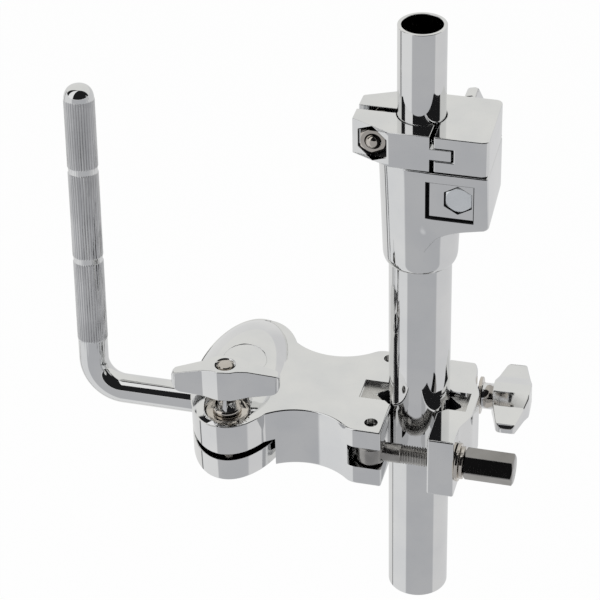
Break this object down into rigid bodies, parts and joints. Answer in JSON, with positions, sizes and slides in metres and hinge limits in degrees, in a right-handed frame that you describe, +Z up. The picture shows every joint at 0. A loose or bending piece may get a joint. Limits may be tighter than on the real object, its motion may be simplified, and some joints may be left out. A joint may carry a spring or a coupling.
{
  "type": "drum stand clamp with l-rod",
  "caption": "Chrome drum-stand tube joint with a hinged memory lock, and a V-clamp arm whose ball socket holds an upright knurled L-rod.",
  "frame": {"origin": "centre of the lower tube's open bottom end", "axes": "+Z up along the tubes, +X from the ball socket to the clamp's nuts, -Y the front"},
  "size_m": [0.198, 0.0851, 0.2728],
  "materials": {
    "lower_tube": "bright chrome plate",
    "joint_casting": "bright chrome plate",
    "tube_bushing": "black nylon",
    "clamp_insert": "bright chrome plate",
    "joint_bolt": "blue-grey zinc plate",
    "joint_washer": "warm nickel plate",
    "joint_wing_nut": "bright chrome plate",
    "lock_body": "bright chrome plate",
    "lock_gate": "bright chrome plate",
    "lock_hinge_pin": "plain steel",
    "lock_bolt": "warm nickel plate",
    "lock_nut": "warm nickel plate",
    "upper_tube": "bright chrome plate",
    "clamp_arm": "bright chrome plate",
    "outer_jaw": "bright chrome plate",
    "front_eyebolt": "plain steel",
    "rear_eyebolt": "plain steel",
    "front_eyebolt_pin": "plain steel",
    "rear_eyebolt_pin": "plain steel",
    "front_washer": "warm nickel plate",
    "front_lock_washer": "warm nickel plate",
    "long_hex_nut": "bright chrome plate",
    "rear_washer": "warm nickel plate",
    "rear_wing_nut": "bright chrome plate",
    "socket_jaw": "bright chrome plate",
    "socket_ball": "black nylon",
    "l_rod": "bright chrome plate",
    "socket_bolt": "warm nickel plate",
    "socket_rear_screw": "plain steel",
    "socket_washer": "warm nickel plate",
    "socket_collar": "warm nickel plate",
    "socket_wing_nut": "bright chrome plate"
  },
  "bodies": {
    "base": {"lower_tube": "lower_tube", "joint_casting": "joint_casting", "tube_bushing": "tube_bushing", "clamp_insert": "clamp_insert", "joint_bolt": "joint_bolt", "joint_washer": "joint_washer"},
    "joint_wing_nut": {"joint_wing_nut": "joint_wing_nut"},
    "memory_lock": {"lock_body": "lock_body", "lock_hinge_pin": "lock_hinge_pin"},
    "upper_tube": {"upper_tube": "upper_tube"},
    "lock_gate": {"lock_gate": "lock_gate", "lock_nut": "lock_nut"},
    "lock_bolt": {"lock_bolt": "lock_bolt"},
    "clamp": {"clamp_arm": "clamp_arm", "socket_jaw": "socket_jaw", "socket_bolt": "socket_bolt", "socket_washer": "socket_washer", "socket_collar": "socket_collar", "socket_rear_screw": "socket_rear_screw", "front_eyebolt": "front_eyebolt", "front_eyebolt_pin": "front_eyebolt_pin", "rear_eyebolt_pin": "rear_eyebolt_pin"},
    "jaw": {"outer_jaw": "outer_jaw", "front_washer": "front_washer", "front_lock_washer": "front_lock_washer"},
    "long_hex_nut": {"long_hex_nut": "long_hex_nut"},
    "rear_eyebolt": {"rear_eyebolt": "rear_eyebolt"},
    "rear_washer": {"rear_washer": "rear_washer"},
    "rear_wing_nut": {"rear_wing_nut": "rear_wing_nut"},
    "socket_wing_nut": {"socket_wing_nut": "socket_wing_nut"},
    "socket_ball": {"socket_ball": "socket_ball"},
    "l_rod": {"l_rod": "l_rod"}
  },
  "joints": [
    {"name": "joint_nut_spin", "type": "hinge", "parent": "base", "child": "joint_wing_nut", "pos_m": [0.0183, 0.0189, 0.2075], "axis": [0, 1, 0], "continuous": true},
    {"name": "lock_slide", "type": "slide", "parent": "base", "child": "memory_lock", "axis": [0, 0, 1], "range_m": [0, 0.08]},
    {"name": "upper_tube_turn", "type": "hinge", "parent": "memory_lock", "child": "upper_tube", "pos_m": [0, 0, 0.2264], "axis": [0, 0, 1], "continuous": true},
    {"name": "gate_swing", "type": "hinge", "parent": "memory_lock", "child": "lock_gate", "pos_m": [0.0115, -0.0122, 0.2264], "axis": [0, 0, 1], "range_deg": [0, 4]},
    {"name": "lock_bolt_spin", "type": "hinge", "parent": "memory_lock", "child": "lock_bolt", "pos_m": [-0.0165, 0, 0.2264], "axis": [0, 1, 0], "continuous": true},
    {"name": "clamp_swivel", "type": "hinge", "parent": "base", "child": "clamp", "pos_m": [0, 0, 0.0847], "axis": [0, 0, 1], "continuous": true},
    {"name": "jaw_slide", "type": "slide", "parent": "clamp", "child": "jaw", "axis": [1, 0, 0], "range_m": [0, 0.004]},
    {"name": "hex_nut_spin", "type": "hinge", "parent": "jaw", "child": "long_hex_nut", "pos_m": [0.0242, -0.0222, 0.0847], "axis": [1, 0, 0], "continuous": true},
    {"name": "rear_swing", "type": "hinge", "parent": "clamp", "child": "rear_eyebolt", "pos_m": [-0.0175, 0.0232, 0.0847], "axis": [0, 0, 1], "range_deg": [0, 72]},
    {"name": "rear_washer_slide", "type": "slide", "parent": "rear_eyebolt", "child": "rear_washer", "axis": [0.9992, 0.0401, 0], "range_m": [0, 0.004]},
    {"name": "rear_nut_spin", "type": "hinge", "parent": "rear_washer", "child": "rear_wing_nut", "pos_m": [0.02247, 0.02481, 0.0847], "axis": [0.9992, 0.0401, 0], "continuous": true},
    {"name": "socket_nut_spin", "type": "hinge", "parent": "clamp", "child": "socket_wing_nut", "pos_m": [-0.075, -0.028, 0.1039], "axis": [0, 0, 1], "continuous": true},
    {"name": "ball_swing", "type": "hinge", "parent": "clamp", "child": "socket_ball", "pos_m": [-0.075, 0, 0.0812], "axis": [0, 0, 1], "range_deg": [-12, 12]},
    {"name": "rod_twist", "type": "hinge", "parent": "socket_ball", "child": "l_rod", "pos_m": [-0.075, 0, 0.0812], "axis": [1, 0, 0], "range_deg": [-90, 90]}
  ],
  "couplings": [
    {"joint": "rear_washer_slide", "follows": "jaw_slide", "ratio": 1}
  ]
}
